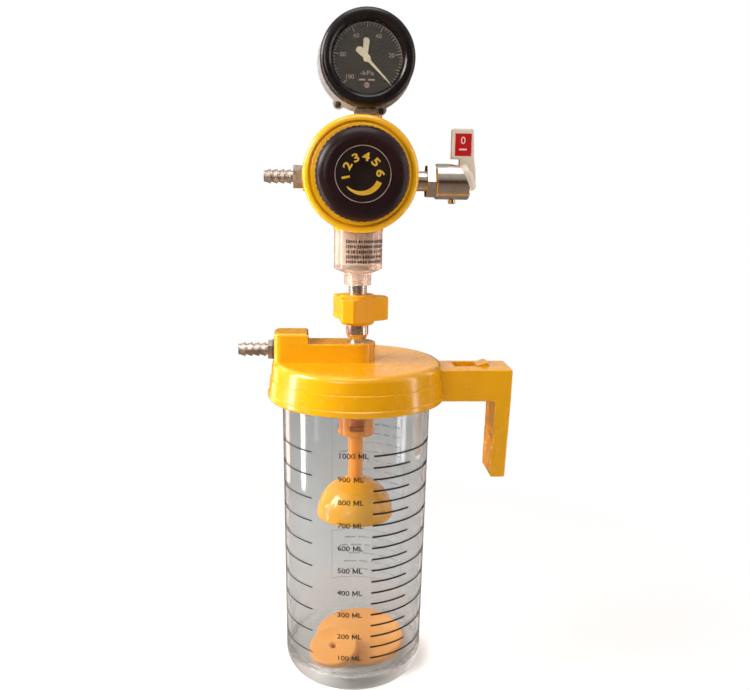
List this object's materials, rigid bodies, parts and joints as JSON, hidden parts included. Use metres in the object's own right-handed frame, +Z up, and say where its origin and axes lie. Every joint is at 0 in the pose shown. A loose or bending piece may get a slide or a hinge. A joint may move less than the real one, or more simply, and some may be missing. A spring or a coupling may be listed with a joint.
{
  "type": "suction pump",
  "caption": "Wall or rail suction unit: screw-lid collecting jar with hanging hook, float valve, union, filter cup, vacuum regulator, on/off cock and dial gauge.",
  "frame": {"origin": "centre of the jar's foot, on the surface it stands on", "axes": "+Z up along the jar, -Y toward the user (dial and knob side), +X to the user's right, where the hook is"},
  "size_m": [0.1787, 0.1166, 0.4374],
  "materials": {
    "clear_jar": "clear moulded jar with printed scale",
    "clear_cup": "clear moulded filter cup",
    "gauge_glass": "clear flat window",
    "yellow_plastic": "glossy moulded plastic",
    "yellow_head": "glossy moulded plastic",
    "dark_knob": "semi-gloss dark plastic",
    "dark_cap": "satin dark plastic with a printed arrow",
    "black_bezel": "glossy black plastic",
    "dial_face": "matt dark dial with pale scale",
    "pointer_paint": "cream paint",
    "rubber_seal": "soft black rubber",
    "diaphragm_rubber": "soft reinforced rubber",
    "nickel": "nickel plated brass",
    "brass_parts": "machined brass",
    "steel_case": "satin steel",
    "steel_small": "bright steel",
    "white_lever": "glossy off-white plastic",
    "red_label": "red printed inlay",
    "filter_paper": "pleated paper"
  },
  "bodies": {
    "jar": {"jar": "clear_jar", "splash_disc": "yellow_plastic", "float_stop": "yellow_plastic"},
    "gasket": {"jar_gasket": "rubber_seal"},
    "lid": {"lid": "yellow_plastic", "hanging_hook": "yellow_plastic", "lid_hose_barb": "nickel", "lid_barb_seal": "rubber_seal", "float_cage": "yellow_plastic", "lower_connector": "nickel", "connector_seal": "rubber_seal"},
    "latch": {"hook_latch": "yellow_plastic"},
    "float": {"float_stem": "yellow_plastic", "float_dome": "yellow_plastic", "float_seal": "rubber_seal"},
    "slip_ring": {"slip_ring": "steel_small"},
    "wing_nut": {"wing_nut": "yellow_plastic", "nut_insert": "brass_parts"},
    "head": {"upper_nipple": "nickel", "union_seal": "rubber_seal", "filter_bowl": "clear_cup", "filter_element": "filter_paper", "filter_seal": "rubber_seal", "regulator_body": "yellow_head", "clamp_ring": "yellow_head", "spring_bell": "yellow_head", "diaphragm": "diaphragm_rubber", "diaphragm_plate": "steel_small", "control_spring": "steel_small", "poppet_cap": "nickel", "poppet_spring": "steel_small", "regulator_hose_barb": "nickel", "cock_nipple": "nickel", "cock_nut": "nickel", "cock_body": "nickel", "cock_vent_tip": "nickel", "gauge_socket": "brass_parts", "gauge_case": "steel_case", "gauge_flange": "steel_case", "gauge_bezel": "black_bezel", "gauge_dial": "dial_face", "dial_screw": "pointer_paint", "gauge_lens": "gauge_glass", "lens_seal": "rubber_seal", "bourdon_tube": "brass_parts", "gauge_movement": "brass_parts"},
    "poppet": {"poppet": "brass_parts"},
    "spring_button": {"spring_button": "steel_small"},
    "knob": {"knob": "dark_knob", "knob_cap": "dark_cap", "adjusting_screw": "brass_parts"},
    "lever": {"cock_lever": "white_lever", "lever_label": "red_label", "cock_plug": "nickel", "lever_pin": "steel_small"},
    "pointer": {"gauge_pointer": "pointer_paint", "pinion_shaft": "brass_parts"},
    "sector": {"sector_gear": "brass_parts"}
  },
  "joints": [
    {"name": "lid_rise", "type": "slide", "parent": "jar", "child": "gasket", "axis": [0, 0, 1], "range_m": [0, 0.0182]},
    {"name": "lid_turn", "type": "hinge", "parent": "gasket", "child": "lid", "pos_m": [0, 0, 0.2125], "axis": [0, 0, 1], "range_deg": [0, 360]},
    {"name": "latch_slide", "type": "slide", "parent": "lid", "child": "latch", "axis": [-1, 0, 0], "range_m": [0, 0.0135]},
    {"name": "float_rise", "type": "slide", "parent": "lid", "child": "float", "axis": [0, 0, 1], "range_m": [0, 0.01]},
    {"name": "nut_rise", "type": "slide", "parent": "lid", "child": "slip_ring", "axis": [0, 0, 1], "range_m": [0, 0.0061]},
    {"name": "nut_turn", "type": "hinge", "parent": "slip_ring", "child": "wing_nut", "pos_m": [0, 0, 0.25], "axis": [0, 0, 1], "range_deg": [0, 1440]},
    {"name": "head_turn", "type": "hinge", "parent": "lid", "child": "head", "pos_m": [0, 0, 0.2525], "axis": [0, 0, 1], "range_deg": [-90, 90]},
    {"name": "poppet_slide", "type": "slide", "parent": "head", "child": "poppet", "axis": [0, 1, 0], "range_m": [0, 0.0015], "stiffness_N_per_m": 60, "springref_m": -0.001, "deforming": ["poppet_spring"]},
    {"name": "button_slide", "type": "slide", "parent": "head", "child": "spring_button", "axis": [0, 1, 0], "range_m": [0, 0.0031], "deforming": ["control_spring", "diaphragm"]},
    {"name": "knob_turn", "type": "hinge", "parent": "spring_button", "child": "knob", "pos_m": [0, -0.0375, 0.338], "axis": [0, 1, 0], "range_deg": [0, 720]},
    {"name": "lever_turn", "type": "hinge", "parent": "head", "child": "lever", "pos_m": [0.06679, 0, 0.3364], "axis": [0.9063, 0, 0.4226], "range_deg": [0, 90]},
    {"name": "pointer_turn", "type": "hinge", "parent": "head", "child": "pointer", "pos_m": [0.0036, -0.005, 0.407], "axis": [0, -1, 0], "range_deg": [0, 270]},
    {"name": "sector_turn", "type": "hinge", "parent": "head", "child": "sector", "pos_m": [0.0036, 0, 0.394], "axis": [0, -1, 0], "range_deg": [-40, 0]}
  ],
  "couplings": [
    {"joint": "lid_rise", "follows": "lid_turn", "m_per_rad": 0.0028648},
    {"joint": "nut_rise", "follows": "nut_turn", "m_per_rad": 0.00023873},
    {"joint": "button_slide", "follows": "knob_turn", "m_per_rad": 0.00023873},
    {"joint": "sector_turn", "follows": "pointer_turn", "ratio": -0.14}
  ]
}
